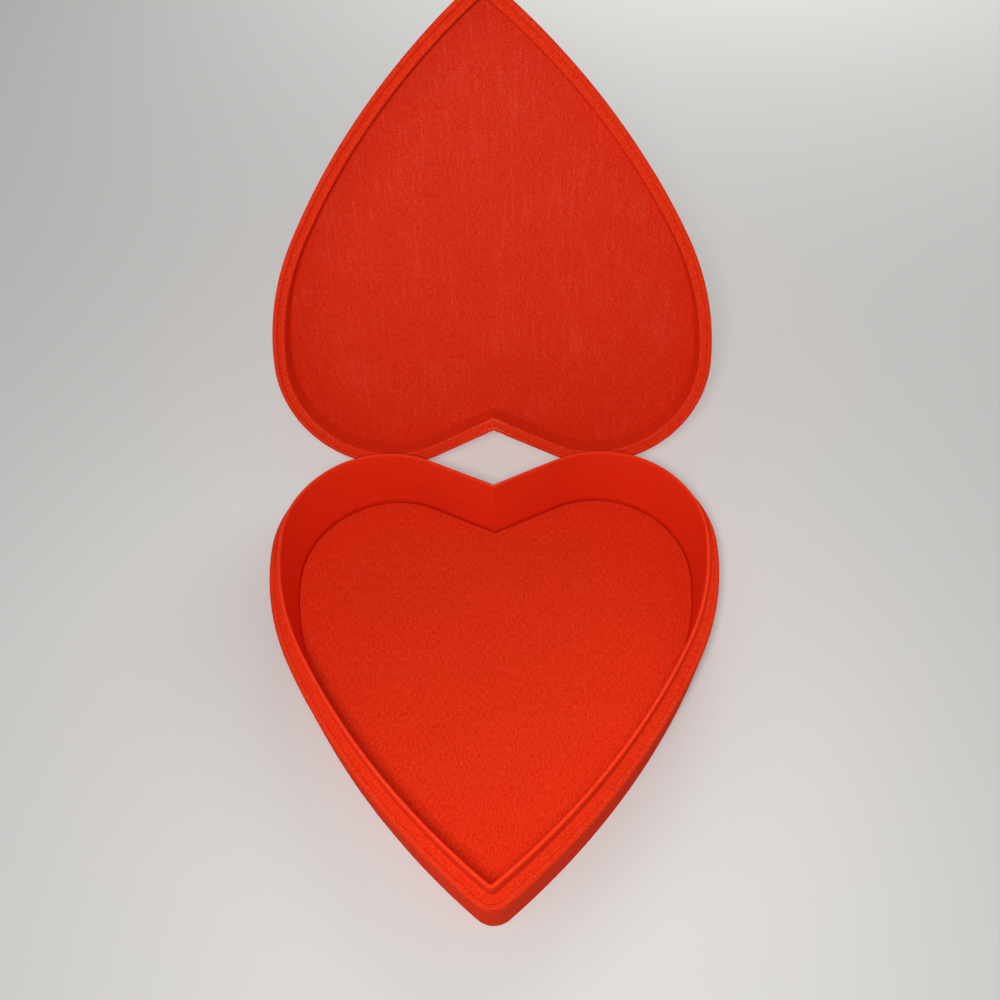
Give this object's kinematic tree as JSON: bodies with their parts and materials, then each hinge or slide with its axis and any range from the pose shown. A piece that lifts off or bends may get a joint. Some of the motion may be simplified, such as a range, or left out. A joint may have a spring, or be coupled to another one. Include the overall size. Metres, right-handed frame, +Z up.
{
  "type": "heart-shaped gift box",
  "caption": "Cloth-covered heart-shaped gift box: a tray with a raised inner neck and a shallow lid that swings up on cloth hinge tapes behind the lobes.",
  "frame": {"origin": "on the underside of the base, on its mirror plane, midway between the lobe centres", "axes": "+Z up, +Y from the heart's tip to its lobes and the open lid, +X to the right seen from the tip"},
  "size_m": [0.26, 0.3726, 0.2741],
  "materials": {
    "wall_cloth": "fine woven cloth",
    "lining_cloth": "fine woven cloth",
    "panel_cloth": "slubbed cloth with a soft sheen",
    "hinge_tape": "fine woven tape",
    "underside_paper": "matte paper",
    "board": "grey board"
  },
  "bodies": {
    "base": {"base_bottom_paper": "underside_paper", "base_bottom_board": "board", "base_wall_board": "board", "base_wall_cloth": "wall_cloth", "base_spacer": "board", "ledge_cloth": "wall_cloth", "neck_board": "board", "neck_cloth": "lining_cloth", "floor_card": "board", "floor_cloth": "lining_cloth", "left_hinge_tape": "hinge_tape", "right_hinge_tape": "hinge_tape"},
    "lid": {"lid_wall_board": "board", "lid_wall_cloth": "wall_cloth", "lid_top_cloth": "wall_cloth", "lid_top_board": "board", "lid_spacer": "board", "lid_lining_cloth": "lining_cloth", "lid_panel_card": "board", "lid_panel_cloth": "panel_cloth"}
  },
  "joints": [
    {"name": "lid_hinge", "type": "hinge", "parent": "base", "child": "lid", "pos_m": [0, 0.062, 0.0374], "axis": [1, 0, 0], "range_deg": [0, 111], "deforming": ["left_hinge_tape", "right_hinge_tape"]}
  ]
}
